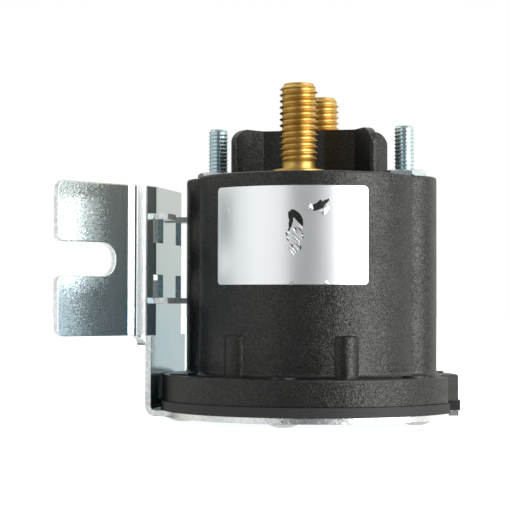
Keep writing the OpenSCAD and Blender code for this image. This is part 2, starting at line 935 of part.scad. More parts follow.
// Pole piece riveted into the top of the case
module fixed_core() {
    color("#767c80")
        difference() {
            union() {
                translate([0, 0, core_face_z])
                    cylinder(h = case_ceiling_z - core_face_z, r = core_r, $fn = fn_large);
                translate([0, 0, case_ceiling_z])
                    cylinder(h = case_top_t, r = spigot_r, $fn = fn_mid);
            }
            cylinder(h = body_top_z, r = core_bore_r, $fn = fn_mid);
        }
}

// Fibre disc that closes the coil space off from the contact chamber
module chamber_divider() {
    color("#8a5a3a")
        difference() {
            tube(cavity_r - seat_play, divider_bore_r, divider_z, ledge_z);
            for (side = [-1, 1])
                translate([side * (lead_x + lead_t), 0, divider_z + divider_t / 2])
                    cube([lead_slot_w / 2, lead_slot_w, 2 * divider_t], center = true);
        }
}

// Steel plunger with a pocket for its spring and a socket for the rod
module plunger() {
    color("#8a9094")
        difference() {
            translate([0, 0, plunger_bottom_z])
                cylinder(h = plunger_top_z - plunger_bottom_z, r = plunger_r, $fn = fn_large);
            translate([0, 0, pocket_z])
                cylinder(h = pocket_depth + cut, r = pocket_r, $fn = fn_mid);
            translate([0, 0, rod_bottom_z])
                cylinder(h = pocket_z - rod_bottom_z + cut, r = rod_r, $fn = fn_mid);
        }
}

// Rod with a shoulder for the spring seat and a groove for the clip
module push_rod() {
    color("#a9afb3")
        union() {
            translate([0, 0, rod_bottom_z])
                cylinder(h = shoulder_z - rod_bottom_z, r = rod_r, $fn = fn_mid);
            translate([0, 0, shoulder_z])
                cylinder(h = clip_z - shoulder_z, r = stem_r, $fn = fn_mid);
            translate([0, 0, clip_z])
                cylinder(h = clip_t, r = groove_r, $fn = fn_mid);
            translate([0, 0, clip_z + clip_t])
                cylinder(h = rod_top_z - clip_z - clip_t, r = stem_r, $fn = fn_mid);
        }
}

// Centre of the wire of a coil spring at a share of its length, between two planes
function wire_point(coil_r, turns, z0, z1, share) = [
    coil_r * cos(360 * turns * share),
    coil_r * sin(360 * turns * share),
    z0 + wire_r + (z1 - z0 - 2 * wire_r) * share,
];

// Coil spring as one swept wire with flat ends
module spring(coil_r, turns, z0, z1) {
    steps = turn_rings * turns;
    rings = [
        for (i = [0 : steps], k = [0 : wire_sides - 1])
            let (centre = wire_point(coil_r, turns, z0, z1, i / steps))
            let (around = 360 * turns * i / steps)
            let (reach = wire_r * cos(360 * k / wire_sides))
            [
                centre[0] + reach * cos(around),
                centre[1] + reach * sin(around),
                centre[2] + wire_r * sin(360 * k / wire_sides),
            ]
    ];
    walls = [
        for (i = [0 : steps - 1], k = [0 : wire_sides - 1])
            [
                i * wire_sides + k,
                (i + 1) * wire_sides + k,
                (i + 1) * wire_sides + (k + 1) % wire_sides,
                i * wire_sides + (k + 1) % wire_sides,
            ]
    ];
    first = [for (k = [0 : wire_sides - 1]) k];
    last = [for (k = [wire_sides - 1 : -1 : 0]) steps * wire_sides + k];
    polyhedron(points = rings, faces = concat(walls, [first, last]), convexity = turns + 2);
}

module return_spring() {
    color("#9aa0a4")
        spring(return_coil_r, return_turns, pocket_z, core_face_z);
}

module spring_seat() {
    color("#9aa0a4")
        tube(seat_r, stem_r, shoulder_z, seat_top_z, fn_mid);
}

module contact_spring() {
    color("#9aa0a4")
        spring(contact_coil_r, contact_turns, seat_top_z, bush_z);
}

// Insulating bush that carries the disc on the rod
module contact_bush() {
    color("#d8cdb0")
        difference() {
            union() {
                translate([0, 0, bush_z])
                    cylinder(h = bush_flange_t, r = bush_flange_r, $fn = fn_mid);
                translate([0, 0, disc_z])
                    cylinder(h = disc_t, r = bush_hub_r, $fn = fn_mid);
            }
            translate([0, 0, bush_z - cut])
                cylinder(h = disc_top_z - bush_z + 2 * cut, r = stem_r + fit, $fn = fn_mid);
        }
}

// Copper disc that bridges the two load studs
module contact_disc() {
    color("#b8683a")
        tube(disc_r, bush_hub_r, disc_z, disc_top_z);
}

// Insulating washer between the disc and the clip
module contact_washer() {
    color("#d8cdb0")
        tube(bush_flange_r, stem_r + fit, disc_top_z, washer_top_z, fn_mid);
}

// Open clip in the groove of the rod
module rod_clip() {
    color("#6f7579")
        difference() {
            tube(clip_r, groove_r, clip_z, clip_z + clip_t, fn_mid);
            translate([0, -groove_r / 2, clip_z - cut])
                cube([clip_r + cut, groove_r, clip_t + 2 * cut]);
        }
}

mounting_bracket();
base_rivets();
base_gasket();
housing();
load_stud_front();
load_stud_rear();
coil_stud_left();
coil_stud_right();
coil_stud_nuts();
label();
coil_case();
flux_washer();
bobbin();
coil_winding();
coil_lead_left();
coil_lead_right();
plunger_guide();
plunger_bumper();
fixed_core();
chamber_divider();
plunger();
push_rod();
return_spring();
spring_seat();
contact_spring();
contact_bush();
contact_disc();
contact_washer();
rod_clip();
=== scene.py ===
"""Looks of a sealed motor contactor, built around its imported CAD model.

Lengths are written in millimetres and turned into metres by MM. Pieces that the CAD keeps plain
are made again here: threads, chamfered nuts, the torn label, smooth springs and the winding.
"""

import math

import bmesh
import bpy
from mathutils import Matrix, Vector


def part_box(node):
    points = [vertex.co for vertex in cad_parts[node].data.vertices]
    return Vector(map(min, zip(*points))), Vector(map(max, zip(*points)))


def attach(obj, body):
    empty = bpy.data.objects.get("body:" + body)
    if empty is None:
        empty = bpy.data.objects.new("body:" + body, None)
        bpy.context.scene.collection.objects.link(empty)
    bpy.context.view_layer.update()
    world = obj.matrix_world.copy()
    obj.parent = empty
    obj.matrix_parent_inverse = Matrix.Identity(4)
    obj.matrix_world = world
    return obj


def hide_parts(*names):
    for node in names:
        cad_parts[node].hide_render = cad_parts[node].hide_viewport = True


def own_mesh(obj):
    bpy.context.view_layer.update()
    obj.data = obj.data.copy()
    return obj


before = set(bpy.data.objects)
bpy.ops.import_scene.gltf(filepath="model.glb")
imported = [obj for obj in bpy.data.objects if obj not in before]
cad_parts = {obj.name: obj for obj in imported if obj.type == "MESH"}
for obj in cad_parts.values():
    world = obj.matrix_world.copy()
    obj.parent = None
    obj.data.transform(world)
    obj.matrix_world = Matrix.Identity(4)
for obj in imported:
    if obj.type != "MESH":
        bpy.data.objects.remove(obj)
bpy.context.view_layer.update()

MM = 0.001
TURN = 2 * math.pi

# Camera, worked out from the photo's edges
CAMERA_PLACE = (67.0, -353.36, 23.76)
CAMERA_YAW = 12.602
CAMERA_PITCH = 1.717
CAMERA_ROLL = 0.136
FOCAL_PIXELS = 1693.8
PHOTO_WIDTH = 510
SENSOR_WIDTH = 36.0

# The floor glows more with the distance from the part, so that it meets the white background
FLOOR_GLOW_NEAR = 0.72
FLOOR_NEAR = 34.0
FLOOR_FAR = 120.0
# Half of the floor's width, in metres
FLOOR_HALF = 3.0

# A dark corner of the room behind the part on its left, in degrees from the camera's direction
CORNER_AZIMUTH = -144
CORNER_HALF = 12
CORNER_FADE = 24
CORNER_SHARE = 0.2

# The room brightens from behind the camera to behind the part: cosine to the view, and strength
ROOM_DIM = (-0.9, 0.07)
ROOM_BRIGHT = (0.4, 0.7)
ROOM_DIM_TINT = (0.8, 0.96, 1.08)
ROOM_BRIGHT_TINT = (1.086, 1.003, 0.88)

# Tall lights: name, right and left edge in degrees from the camera's direction, and radiance
UPRIGHT_LIGHTS = [
    ("key", 73.2, 30.5, 5.0),
    ("spill", 28, 10, 0.38),
    ("fill_0", -22, -62, 0.33),
    ("fill_1", -22, -76, 0.26),
    ("fill_2", -22, -104, 0.2),
    ("side_near", 96, 77, 0.24),
    ("side_far", 137, 96, 0.58),
]
UPRIGHT_DISTANCE = 700
UPRIGHT_HEIGHT = 760
UPRIGHT_ELEVATION = 14
LIGHT_TARGET = (0, 0, 30)

# Columns of vertices round a turned piece
COLUMNS = 96
# Edges sharper than this stay sharp
SHARP_ANGLE = math.radians(32)
# Vertices closer than this become one
WELD = 1e-7

# Levels of the housing and the parts in its top
CEILING_Z = 46.2
BODY_TOP_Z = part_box("coil_stud_nuts")[0].z / MM
HEAD_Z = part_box("load_stud_front")[0].z / MM
NUT_TOP_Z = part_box("coil_stud_nuts")[1].z / MM

# Load stud: radii and heights as in the CAD model, and its M8 thread
LOAD_HEAD_R = 6.0
LOAD_HEAD_BEVEL = 0.3
LOAD_BARREL_R = 4.5
LOAD_FLANGE_R = 5.5
LOAD_FLANGE_T = 0.9
LOAD_NECK_R = 3.4
LOAD_NECK_H = 2.5
LOAD_NECK_FILLET = 0.35
LOAD_THREAD_R = 3.95
LOAD_PITCH = 1.25
LOAD_DEPTH = 0.54
LOAD_LEAD = 0.8
LOAD_TIP_R = 3.15
LOAD_END_ROUND = 0.45

# Coil stud and its No. 8-32 thread
COIL_FOOT_R = 3.4
COIL_FOOT_T = 3.0
COIL_TAIL_R = 1.5
COIL_SHANK_R = 1.9
COIL_THREAD_R = 2.1
# How much the shank narrows where its thread starts
COIL_RUN_IN = 0.05
COIL_PITCH = 0.794
COIL_DEPTH = 0.2
COIL_LEAD = 0.35
COIL_TIP_R = 1.78
COIL_END_ROUND = 0.3

# Nut
NUT_AF = 7.9
NUT_BORE_R = 1.9
NUT_BORE_BEVEL = 0.25
# Radius of the nut's round face, as a share of the distance to its flats
NUT_FACE_SHARE = 0.97
NUT_CHAMFER_SLOPE = math.tan(math.radians(30))

# Label
LABEL_R = 24.5
LABEL_T = 0.12
LABEL_CORNER_R = 0.85
LABEL_HALF_ANGLE = 38.8
LABEL_SLICE = math.radians(1.25)
# Depth of a ridge's foot in the foil, and thickness of a flake
LABEL_SINK = 0.03
FLAKE_T = 0.05
# The flat sheet is cleaned at this distance, in millimetres, before it is bent
FLAT_WELD = 1e-4

# Folded sheet
SHEET_TOP_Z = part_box("base_gasket")[0].z / MM
FOLD_R = 1.0
WEB_X = 31.1
WEB_HALF_W = 13.8
SHEET_T = 1.2
# Windows on each side of the middle, and how far round them their sides are looked for
WINDOW_SPAN = (4.5, 11.1)
EDGE_REACH = 0.1
WING_BOTTOM_Z = 17.5
WING_TOP_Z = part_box("mounting_bracket")[1].z / MM
EAR_LEAN = math.radians(30.5)

# Places of the sheet's materials on its mesh; the windows' sides get painted shade
PLATED, SHEARED, BASE_RIM, PAINTED_SHADE_SIDE = range(4)

# Hollow round in the crease nearest the web: its corner, and the lean of the faces beside it
CREASE_CORNER = (-33.0676, 14.4898)
CREASE_GAP_LEAN = math.radians(30)
CREASE_LEAN = math.radians(50)
CREASE_ROUND = 1.38
CREASE_STEPS = 10
CREASE_SINK = 0.05

# The notch in the flange lies beyond this x and below this height
NOTCH_X = 24
NOTCH_Z = 12.5

# Black plastic: features in a metre of its grain, glints and facets, and the facets' lean
GRAIN_SCALE = 3300
GRAIN_DEPTH = 0.00012
GLINT_SCALE = 4200
PLASTIC_FACETS = 3600
PLASTIC_TILT = 0.13
# Noise between these values is the edge of a pale speck
SPECK_EDGE = (0.835, 0.85)
SPECK_COLOR = (0.3, 0.3, 0.28)

# Heights between which the bracket's blue tinge fades, in metres
TINGE_FADE = (0.017, 0.043)
TINGE_COLOR = (0.72, 0.9, 1.06)

# Springs
WIRE_R = 0.35
WIRE_SIDES = 12
RINGS_PER_TURN = 48
RETURN_COIL_R = 2.75
RETURN_TURNS = 4
CONTACT_COIL_R = 3.8
CONTACT_TURNS = 2

# Winding
WINDING_WIRE_R = 0.3
WINDING_BORE_R = 8.4
WINDING_COLUMNS = 72


def box_mm(node):
    """Lowest and highest corner of a CAD node, in millimetres."""
    low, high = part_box(node)
    return low / MM, high / MM


def axis_of(node):
    """Place of a CAD node's upright axis, in millimetres."""
    low, high = box_mm(node)
    return (low.x + high.x) / 2, (low.y + high.y) / 2


def in_scene(name, data):
    """A new object, linked to the scene."""
    holder = bpy.data.objects.new(name, data)
    bpy.context.scene.collection.objects.link(holder)
    return holder


def mesh_object(name, vertices, faces, smooth=True):
    """A welded mesh object from vertices in millimetres."""
    mesh = bpy.data.meshes.new(name)
    mesh.from_pydata([Vector(v) * MM for v in vertices], [], faces)
    form = bmesh.new()
    form.from_mesh(mesh)
    bmesh.ops.remove_doubles(form, verts=form.verts, dist=WELD)
    bmesh.ops.dissolve_degenerate(form, edges=form.edges, dist=WELD)
    bmesh.ops.recalc_face_normals(form, faces=form.faces)
    form.to_mesh(mesh)
    form.free()
    if smooth:
        mesh.shade_smooth()
        mesh.set_sharp_from_angle(angle=SHARP_ANGLE)
    return in_scene(name, mesh)


def place(piece, body, slot, made, *nodes):
    """Lets a piece ride on a body, with its material, in place of the nodes named. The slot is not
    used.
    """
    piece.data.materials.clear()
    piece.data.materials.append(made)
    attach(piece, body)
    if nodes:
        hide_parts(*nodes)
    return piece


# Turned and threaded forms

def lathe(profile, columns=COLUMNS):
    """Vertices and faces of a profile of (radius, height) turned about Z."""
    vertices, faces, rings = [], [], []
    for radius, height in profile:
        if radius == 0:
            rings.append([len(vertices)] * columns)
            vertices.append((0, 0, height))
            continue
        rings.append(list(range(len(vertices), len(vertices) + columns)))
        for i in range(columns):
            angle = TURN * i / columns
            vertices.append((radius * math.cos(angle), radius * math.sin(angle), height))
    for low, high in zip(rings, rings[1:]):
        for i in range(columns):
            j = (i + 1) % columns
            corners = [low[i], low[j], high[j], high[i]]
            face = [v for k, v in enumerate(corners) if v not in corners[:k]]
            if len(face) > 2:
                faces.append(face)
    return vertices, faces


def thread_profile(pitch, depth):
    """One turn of a V thread, as shares of the pitch and the depth: round root, eased crest."""
    flank = depth * math.tan(math.radians(30)) / pitch
    crest_half = 0.045
    crest_ease = 0.03
    root_ease = 0.5 * flank
    root_half = 0.5 - crest_half - flank
    rise = [(root_half - root_ease, 0.0), (root_half - 0.3 * root_ease, 0.03),
            (root_half + 0.4 * root_ease, 0.17), (root_half + root_ease, 0.42),
            (0.5 - crest_half - crest_ease, 0.86), (0.5 - crest_half, 0.97), (0.5, 1.0)]
    fall = [(1 - share, height) for share, height in reversed(rise[:-1])]
    return [(0.0, -0.02)] + rise + fall


def thread(z0, z1, start_r, thread_r, pitch, depth, chamfer, tip_r, columns=COLUMNS):
    """A right-hand V thread between two heights: rises from start_r and ends in a chamfer."""
    root_r = thread_r - depth
    profile = [(share, root_r + depth * height) for share, height in thread_profile(pitch, depth)]
    run_in = 0.8 * pitch
    turns = math.ceil((z1 - z0) / pitch) + 2
    rows = turns * len(profile)

    def point(i, j):
        """Vertex in that column and row, kept within the thread's run-in and chamfer."""
        share, radius = profile[j % len(profile)]
        angle = TURN * i / columns
        z = z0 + pitch * (j // len(profile) - 1 + share + i / columns)
        if z <= z0:
            z, radius = z0, start_r
        elif z >= z1:
            z, radius = z1, tip_r
        else:
            radius = min(radius, start_r + (thread_r - start_r) * (z - z0) / run_in)
            radius = min(radius, tip_r + (thread_r - tip_r) * (z1 - z) / chamfer)
        return radius * math.cos(angle), radius * math.sin(angle), z

    vertices = [point(i, j) for i in range(columns) for j in range(rows)]
    faces = []
    for i in range(columns):
        shift = len(profile) if i == columns - 1 else 0
        beside = (i + 1) % columns
        for j in range(rows - 1 - shift):
            faces.append([
                i * rows + j,
                beside * rows + j + shift,
                beside * rows + j + shift + 1,
                i * rows + j + 1,
            ])
    return vertices, faces


def joined(*parts):
    """Vertices and faces of several parts in one list."""
    vertices, faces = [], []
    for part_vertices, part_faces in parts:
        start = len(vertices)
        vertices += part_vertices
        faces += [[v + start for v in face] for face in part_faces]
    return vertices, faces


def moved(part, x, y):
    """A part moved sideways."""
    vertices, faces = part
    return [(v[0] + x, v[1] + y, v[2]) for v in vertices], faces


def rounded(profile_r, z, radius, steps=4):
    """Quarter round from the side of a turned piece up to its top face."""
    return [
        (profile_r - radius + radius * math.cos(a), z - radius + radius * math.sin(a))
        for a in (math.pi / 2 * k / steps for k in range(steps + 1))
    ]


def stud_tip(tip_r, z, end_round):
    """The rounded end of a stud above its thread, with the small mark of the lathe's centre."""
    mark_r = 0.3 * tip_r
    return [*rounded(tip_r, z, end_round), (mark_r, z), (0.6 * mark_r, z - 0.12), (0, z - 0.16)]


def load_stud(name, node, body):
    """Brass stud with head, barrel, flange, neck and M8 thread."""
    top = box_mm(node)[1].z
    neck_top = BODY_TOP_Z + LOAD_NECK_H
    flange_top = BODY_TOP_Z + LOAD_FLANGE_T
    fillet = LOAD_NECK_FILLET
    profile = [
        (0, HEAD_Z), (LOAD_HEAD_R - LOAD_HEAD_BEVEL, HEAD_Z),
        (LOAD_HEAD_R, HEAD_Z + LOAD_HEAD_BEVEL),
        (LOAD_HEAD_R, CEILING_Z), (LOAD_BARREL_R, CEILING_Z), (LOAD_BARREL_R, BODY_TOP_Z),
        (LOAD_FLANGE_R, BODY_TOP_Z),
        *rounded(LOAD_FLANGE_R, flange_top, LOAD_HEAD_BEVEL),
        (LOAD_NECK_R + 2 * fillet, flange_top),
        (LOAD_NECK_R + 0.5 * fillet, flange_top + 0.4 * fillet),
        (LOAD_NECK_R, flange_top + 1.4 * fillet), (LOAD_NECK_R, neck_top),
    ]
    rod = joined(
        lathe(profile),
        thread(neck_top, top - LOAD_END_ROUND, LOAD_NECK_R, LOAD_THREAD_R, LOAD_PITCH, LOAD_DEPTH,
               LOAD_LEAD, LOAD_TIP_R),
        lathe(stud_tip(LOAD_TIP_R, top, LOAD_END_ROUND)),
    )
    piece = mesh_object(name, *moved(rod, *axis_of(node)))
    return place(piece, body, "stud_brass", BRASS, node)


def coil_stud(name, node, body):
    """Zinc plated stud with foot, tail and No. 8-32 thread."""
    low, high = box_mm(node)
    foot_z = CEILING_Z - COIL_FOOT_T
    start_r = COIL_SHANK_R - COIL_RUN_IN
    profile = [
        (0, low.z), (COIL_TAIL_R, low.z), (COIL_TAIL_R, foot_z), (COIL_FOOT_R, foot_z),
        (COIL_FOOT_R, CEILING_Z), (COIL_SHANK_R, CEILING_Z),
        (COIL_SHANK_R, NUT_TOP_Z - 2 * COIL_RUN_IN), (start_r, NUT_TOP_Z),
    ]
    rod = joined(
        lathe(profile),
        thread(NUT_TOP_Z, high.z - COIL_END_ROUND, start_r, COIL_THREAD_R, COIL_PITCH, COIL_DEPTH,
               COIL_LEAD, COIL_TIP_R),
        lathe(stud_tip(COIL_TIP_R, high.z, COIL_END_ROUND)),
    )
    piece = mesh_object(name, *moved(rod, *axis_of(node)))
    return place(piece, body, "stud_zinc", STUD_ZINC, node)


def hexagon_nut():
    """A thin nut about Z, chamfered on both faces and at the bore."""
    z0, z1 = BODY_TOP_Z, NUT_TOP_Z
    flat_r = NUT_AF / 2
    face_r = NUT_FACE_SHARE * flat_r
    rings = []
    for i in range(COLUMNS):
        angle = TURN * i / COLUMNS
        from_corner = (angle + math.pi / 6) % (math.pi / 3) - math.pi / 6
        corner_r = flat_r / math.cos(math.pi / 6 - abs(from_corner))
        drop = (corner_r - face_r) * NUT_CHAMFER_SLOPE
        section = [
            (NUT_BORE_R, z0), (NUT_BORE_R, z1 - NUT_BORE_BEVEL), (NUT_BORE_R + NUT_BORE_BEVEL, z1),
            (face_r, z1), (corner_r, z1 - drop), (corner_r, z0 + drop), (face_r, z0),
        ]
        rings.append([(r * math.cos(angle), r * math.sin(angle), z) for r, z in section])
    size = len(rings[0])
    vertices = [v for ring in rings for v in ring]
    faces = []
    for i in range(COLUMNS):
        j = (i + 1) % COLUMNS
        for k in range(size):
            n = (k + 1) % size
            faces.append([i * size + k, j * size + k, j * size + n, i * size + n])
    return vertices, faces


def coil_nuts():
    """Both nuts on the coil studs."""
    parts = [moved(hexagon_nut(), *axis_of(node)) for node in ("coil_stud_left", "coil_stud_right")]
    piece = mesh_object("nuts_chamfered", *joined(*parts))
    return place(piece, "base", "nut_zinc", NUT_ZINC, "coil_stud_nuts")


# Springs and winding

def coil_spring(name, coil_r, turns, z0, z1):
    """A smooth coil of round wire between two planes."""
    steps = RINGS_PER_TURN * turns
    vertices, faces = [], []
    for i in range(steps + 1):
        share = i / steps
        angle = TURN * turns * share
        height = z0 + WIRE_R + (z1 - z0 - 2 * WIRE_R) * share
        for k in range(WIRE_SIDES):
            around = TURN * k / WIRE_SIDES
            reach = coil_r + WIRE_R * math.cos(around)
            vertices.append((reach * math.cos(angle), reach * math.sin(angle),
                             height + WIRE_R * math.sin(around)))
    for i in range(steps):
        for k in range(WIRE_SIDES):
            n = (k + 1) % WIRE_SIDES
            low, high = i * WIRE_SIDES, (i + 1) * WIRE_SIDES
            faces.append([low + k, high + k, high + n, low + n])
    faces.append(list(range(WIRE_SIDES)))
    faces.append([steps * WIRE_SIDES + k for k in reversed(range(WIRE_SIDES))])
    return mesh_object(name, vertices, faces)


def sprung(name, node, body, coil_r, turns):
    """A spring that rides on a body, with a mesh of its own."""
    low, high = box_mm(node)
    piece = coil_spring(name, coil_r, turns, low.z, high.z)
    place(piece, body, "spring_steel", SPRING_STEEL, node)
    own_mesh(piece)


def springs():
    """The return spring and the contact spring."""
    sprung("return_spring_coil", "return_spring", "base",
           RETURN_COIL_R, RETURN_TURNS)
    sprung("contact_spring_coil", "contact_spring", "plunger",
           CONTACT_COIL_R, CONTACT_TURNS)


def winding():
    """The outer layer of turns of the coil, as rounded ridges on the solid winding."""
    low, high = box_mm("coil_winding")
    outer_r = high.x
    turns = round((high.z - low.z) / (2 * WINDING_WIRE_R))
    pitch = (high.z - low.z) / turns
    profile = [(WINDING_BORE_R, low.z)]
    for i in range(turns):
        for k in range(5):
            angle = math.pi * (k / 5 - 0.5)
            profile.append((outer_r - WINDING_WIRE_R + WINDING_WIRE_R * math.cos(angle),
                            low.z + pitch * (i + 0.5 + 0.5 * math.sin(angle))))
    profile.append((outer_r - WINDING_WIRE_R, high.z))
    profile += [(WINDING_BORE_R, high.z), (WINDING_BORE_R, low.z)]
    piece = mesh_object("winding_turns", *lathe(profile, WINDING_COLUMNS))
    return place(piece, "base", "winding_copper", WINDING_COPPER, "coil_winding")


# Folded sheet

def crease_fillet(side):
    """Section of the hollow round between the flat and the steep face nearest the web."""
    low_lean, high_lean = CREASE_GAP_LEAN, CREASE_LEAN
    half_turn = (high_lean - low_lean) / 2
    radius = CREASE_ROUND / math.tan(half_turn)
    x, y = CREASE_CORNER
    out = (-math.sin(low_lean), math.cos(low_lean))
    start = (x + CREASE_ROUND * out[0], y + CREASE_ROUND * out[1])
    centre = (start[0] + radius * math.cos(low_lean), start[1] + radius * math.sin(low_lean))
    arc = [low_lean + (high_lean - low_lean) * k / CREASE_STEPS for k in range(CREASE_STEPS + 1)]
    points = [(centre[0] - radius * math.cos(a), centre[1] - radius * math.sin(a)) for a in arc]
    middle = (low_lean + high_lean) / 2
    points.append((x - CREASE_SINK * math.cos(middle), y - CREASE_SINK * math.sin(middle)))
    return [(px, side * py) for px, py in points]


def crease_fillets():
    """Hollow rounds that soften one crease of each wing, over the wing's whole height."""
    parts = []
    for side in (-1, 1):
        section = crease_fillet(side)
        size = len(section)
        vertices = [(x, y, z) for z in (WING_BOTTOM_Z, WING_TOP_Z) for x, y in section]
        faces = [[k, (k + 1) % size, size + (k + 1) % size, size + k] for k in range(size)]
        faces += [list(range(size)), list(range(size, 2 * size))]
        parts.append((vertices, faces))
    piece = mesh_object("crease_fillets", *joined(*parts))
    return place(piece, "base", "bracket_zinc", CREASE_ZINC)


# Label: a thin sheet with torn places, drawn flat and then wrapped round the body

def rounded_outline(half_w, z0, z1, radius, steps=6):
    """Corner-rounded rectangle, as points that run round it once."""
    points = []
    corners = [(half_w, z1, 0), (-half_w, z1, 90), (-half_w, z0, 180), (half_w, z0, 270)]
    for x, z, start in corners:
        cx = x - math.copysign(radius, x)
        cz = z - math.copysign(radius, z - (z0 + z1) / 2)
        for k in range(steps + 1):
            a = math.radians(start + 90 * k / steps)
            points.append((cx + radius * math.cos(a), cz + radius * math.sin(a)))
    return points


def flat_sheet(outlines):
    """A flat filled mesh from an outer outline and its holes, given in millimetres."""
    curve = bpy.data.curves.new("sheet_outline", "CURVE")
    curve.dimensions = "2D"
    curve.fill_mode = "BOTH"
    for points in outlines:
        spline = curve.splines.new("POLY")
        spline.points.add(len(points) - 1)
        for point, (x, z) in zip(spline.points, points):
            point.co = (x, z, 0, 1)
        spline.use_cyclic_u = True
    holder = in_scene("sheet_outline", curve)
    bpy.context.view_layer.update()
    filled = holder.evaluated_get(bpy.context.evaluated_depsgraph_get())
    mesh = bpy.data.meshes.new_from_object(filled)
    bpy.data.objects.remove(holder)
    bpy.data.curves.remove(curve)
    return mesh


def round_body(way, height, lift):
    """A point given as way round, height and lift, put round the body."""
    angle = way / LABEL_R - math.pi / 2
    return (LABEL_R + lift) * math.cos(angle), (LABEL_R + lift) * math.sin(angle), height


# Torn places, as (way round, height) from the middle of the label's front
TORN_UPPER = [
    (4.98, 43.61), (5.26, 43.89), (5.85, 44.13), (6.24, 44.48), (6.6, 44.84), (7.03, 44.49),
    (7.59, 44.81), (7.99, 44.89), (8.23, 45.13), (8.39, 44.7), (7.91, 44.18), (7.55, 43.82),
    (7.27, 43.22), (6.52, 42.9), (5.73, 42.62), (5.06, 42.54), (5.26, 43.09),
]
TORN_CRESCENT = [
    (0.18, 42.12), (0.3, 42.6), (0.63, 42.51), (0.74, 42.95), (1.1, 42.87), (1.5, 42.83),
    (2.06, 42.46), (2.5, 42.07), (2.89, 41.51), (3.17, 40.83), (3.21, 39.96), (3.11, 39.37),
    (2.74, 39.79), (2.26, 40.28), (1.87, 40.7), (1.37, 41.28), (1.17, 41.04), (1.25, 40.61),
    (1.05, 40.13), (0.91, 39.54), (0.63, 39.06), (0.47, 38.51), (0.15, 38.71), (0.37, 39.34),
    (0.27, 40.02), (0.43, 40.73), (0.23, 41.33),
]
# Slits through the scraped foil, as start, end and width
SLITS = [
    ((-0.32, 38.42), (0.12, 37.62), 0.33), ((-0.12, 37.3), (0.42, 36.5), 0.25),
    ((0.75, 38.35), (2.45, 36.55), 0.25), ((1.3, 39.3), (1.95, 38.75), 0.38),
    ((1.75, 39.75), (3.05, 38.4), 0.22), ((0.1, 36.35), (1.95, 34.35), 0.21),
    ((0.9, 37.2), (2.6, 35.35), 0.21), ((2.95, 38.35), (3.2, 37.05), 0.38),
    ((2.62, 35.9), (2.72, 34.85), 0.33), ((0.75, 36.0), (1.25, 35.35), 0.35),
    ((0.2, 35.1), (1.35, 33.9), 0.2), ((1.2, 38.55), (2.9, 36.95), 0.18),
]
# Ridges that the scraping pushed up, as start, end, width and height
RIDGES = [
    ((1.05, 39.4), (1.6, 38.5), 0.42, 0.124), ((0.5, 38.45), (2.75, 36.15), 0.4, 0.116),
    ((0.85, 38.95), (3.1, 36.8), 0.38, 0.124), ((0.35, 37.75), (2.6, 35.6), 0.36, 0.109),
    ((0.12, 37.0), (2.4, 34.75), 0.4, 0.116), ((-0.1, 36.5), (1.95, 34.1), 0.34, 0.101),
    ((-0.2, 35.75), (1.5, 33.7), 0.36, 0.109), ((1.4, 40.2), (3.0, 38.9), 0.38, 0.124),
    ((1.9, 40.45), (3.15, 39.15), 0.34, 0.109), ((2.1, 38.55), (3.3, 37.4), 0.36, 0.109),
    ((-0.1, 38.9), (0.5, 38.1), 0.3, 0.093), ((-0.3, 37.9), (0.3, 37.1), 0.3, 0.093),
]
# Peeled flakes, as outlines whose last number is how far each corner stands off
FLAKES = [
    [(4.98, 43.66, 0), (4.7, 44.02, 0.04), (4.36, 43.9, 0.05), (4.2, 43.3, 0.03),
     (4.36, 42.62, 0.02), (4.82, 42.38, 0.04), (5.1, 42.56, 0.05), (5.22, 43.12, 0.04)],
    [(7.24, 43.24, 0), (7.52, 43.84, 0), (8.1, 43.68, 0.05), (8.42, 43.34, 0.06),
     (8.2, 42.86, 0.04), (7.9, 42.4, 0.05), (7.7, 41.9, 0.05), (7.2, 41.7, 0.1),
     (6.7, 42.2, 0.1), (6.72, 42.88, 0)],
    [(0.4, 28.02, 0), (0.7, 28.62, 0.05), (1.2, 28.56, 0.1), (1.4, 28.0, 0.06), (0.9, 27.9, 0)],
    [(7.2, 28.02, 0), (7.42, 28.7, 0.05), (7.86, 28.86, 0.12), (8.3, 28.1, 0.08), (7.8, 27.9, 0)],
]
# The crown of a flake stands off beside its middle, so that its broad side faces right
FLAKE_CROWN = (-0.28, 0.12, 0.17)
# Fine scratches in the foil, as start, end, width and height
SCRATCHES = [
    ((-4.9, 48.0), (-6.3, 46.9), 0.05, 0.02), ((2.6, 45.9), (4.1, 44.9), 0.05, 0.02),
    ((-13.9, 44.9), (-13.1, 42.2), 0.05, 0.02), ((9.6, 38.6), (12.4, 37.9), 0.05, 0.02),
]

# Witness mark of the mould on the rim above the label, as start, end, width and height
TICK = ((11.61, 50.5), (11.61, 49.3), 0.34, 0.11)
# Outline of a leaf, as shares of its length and its width
LEAF = [(0.25, 0.7), (0.6, 1.0), (0.85, 0.6)]


def sliver(start, end, width):
    """Outline of a thin leaf between two points, widest past its middle."""
    (x0, z0), (x1, z1) = start, end
    length = math.hypot(x1 - x0, z1 - z0)
    across = ((z0 - z1) / length, (x1 - x0) / length)

    def side(sign, shape):
        """One long side of the leaf."""
        return [(x0 + (x1 - x0) * t + sign * across[0] * width * w / 2,
                 z0 + (z1 - z0) * t + sign * across[1] * width * w / 2) for t, w in shape]

    return [start, *side(1, LEAF), end, *side(-1, LEAF[::-1])]


